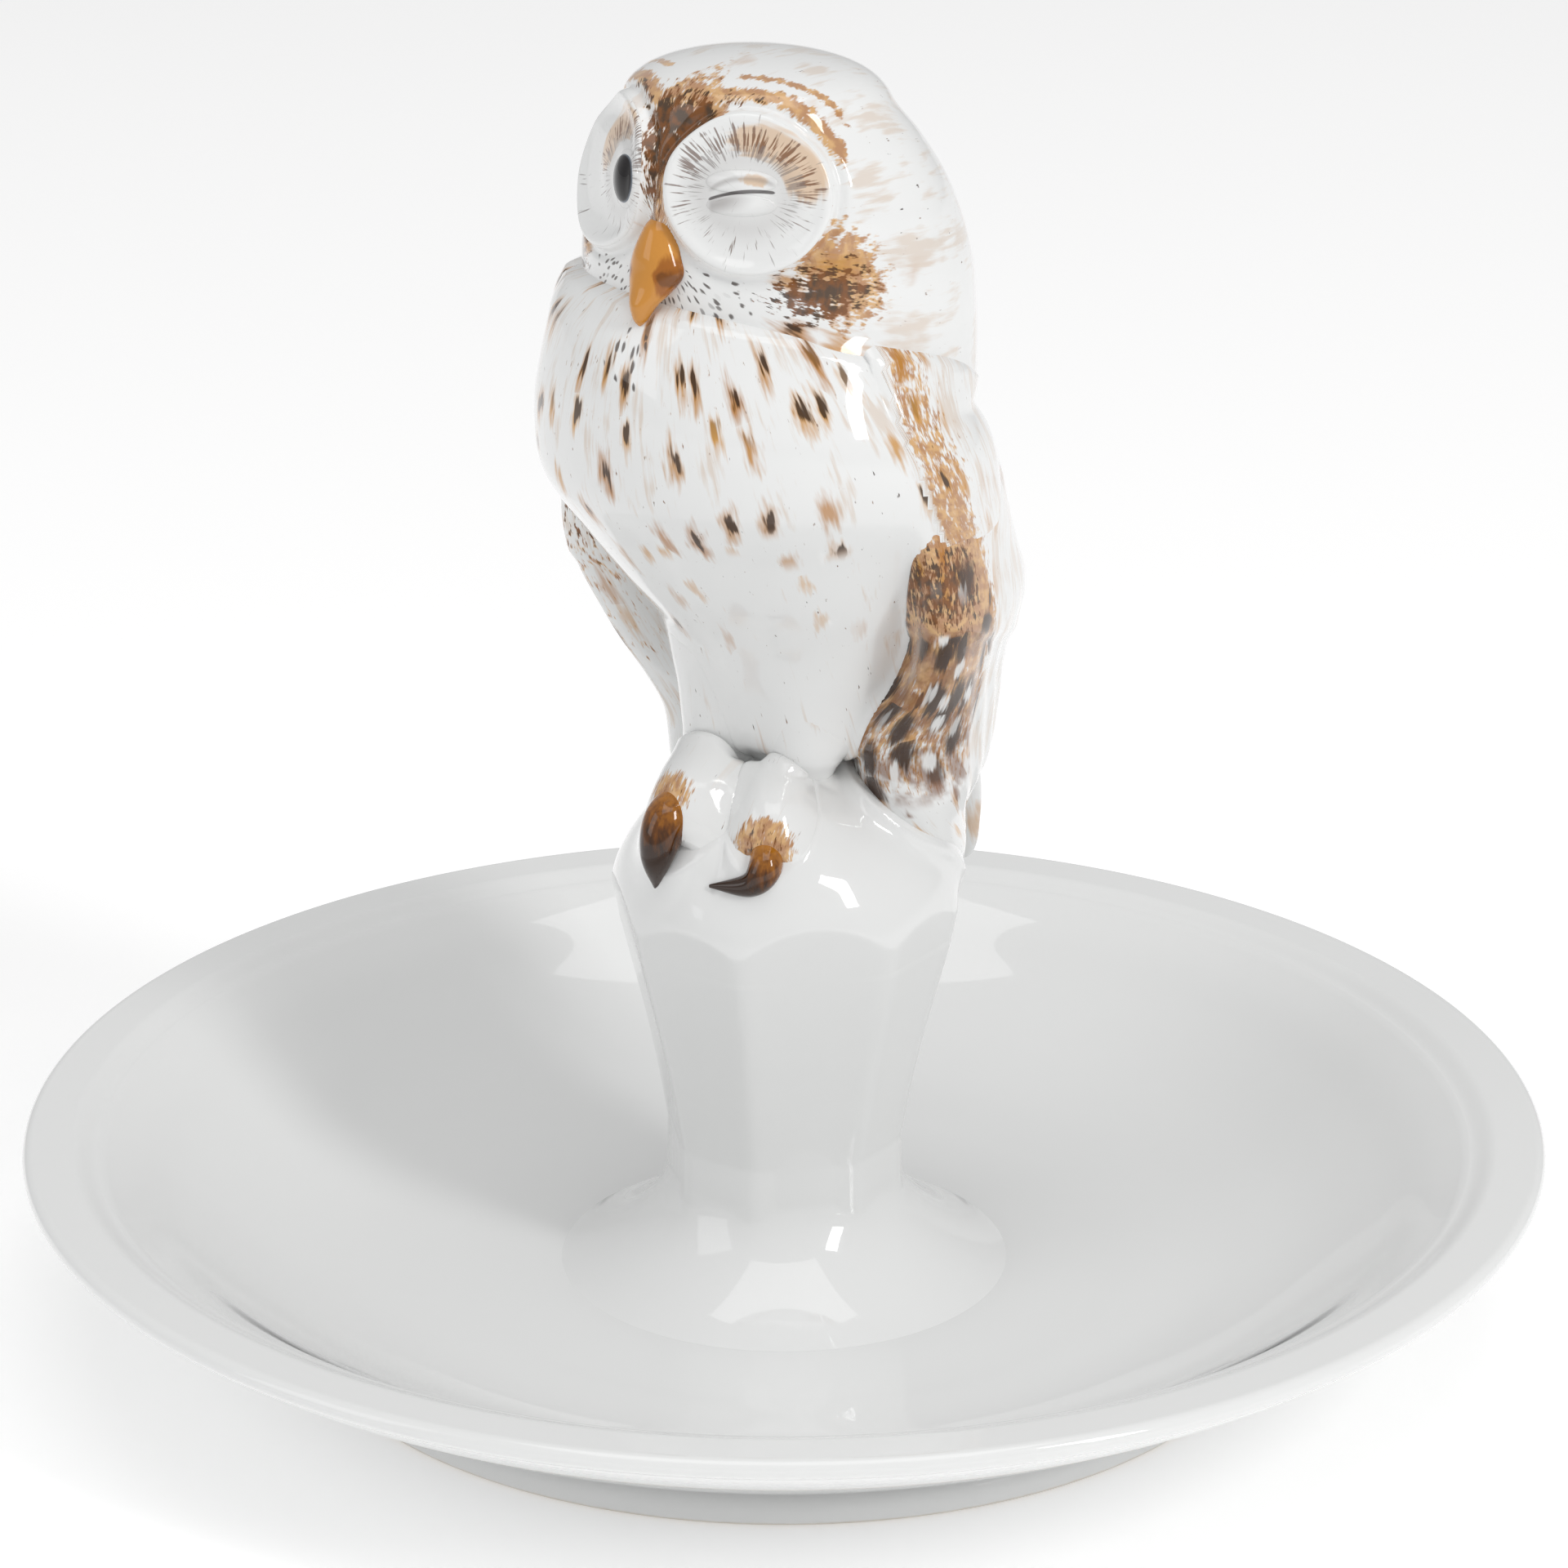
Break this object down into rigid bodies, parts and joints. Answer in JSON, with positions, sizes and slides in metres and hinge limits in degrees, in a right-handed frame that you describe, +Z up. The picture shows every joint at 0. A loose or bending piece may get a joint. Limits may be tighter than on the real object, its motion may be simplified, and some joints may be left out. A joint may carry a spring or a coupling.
{
  "type": "owl figurine",
  "caption": "Porcelain owl with one eye closed, perched on a faceted column that rises from the middle of a wide shallow footed dish",
  "frame": {"origin": "centre of the foot ring's underside, on the surface that the dish stands on", "axes": "+Z up along the column, the owl faces -Y, the owl's left is +X"},
  "size_m": [0.24, 0.24, 0.2045],
  "materials": {
    "white_glaze": "high-gloss clear glaze over cool white porcelain",
    "bare_foot": "glazed sides, unglazed polished standing edge",
    "painted_plumage": "white porcelain painted with brown, ochre and grey feather strokes under a glossy glaze",
    "painted_beak": "ochre to brown paint under a glossy glaze",
    "painted_claw": "sepia to black paint with ochre roots under a glossy glaze",
    "painted_eye": "black paint under a high-gloss glaze"
  },
  "bodies": {
    "root": {"dish": "white_glaze", "foot_ring": "bare_foot", "perch_column": "white_glaze", "owl_torso": "painted_plumage", "owl_head": "painted_plumage", "left_wing": "painted_plumage", "right_wing": "painted_plumage", "tail": "painted_plumage", "left_leg": "painted_plumage", "right_leg": "painted_plumage", "left_facial_disc": "painted_plumage", "right_facial_disc": "painted_plumage", "closed_upper_lid": "painted_plumage", "closed_lower_lid": "painted_plumage", "open_eye_rim": "painted_plumage", "open_eye": "painted_eye", "beak": "painted_beak", "left_toe": "painted_plumage", "left_claw": "painted_claw", "right_toe": "painted_plumage", "right_claw": "painted_claw"}
  },
  "joints": []
}
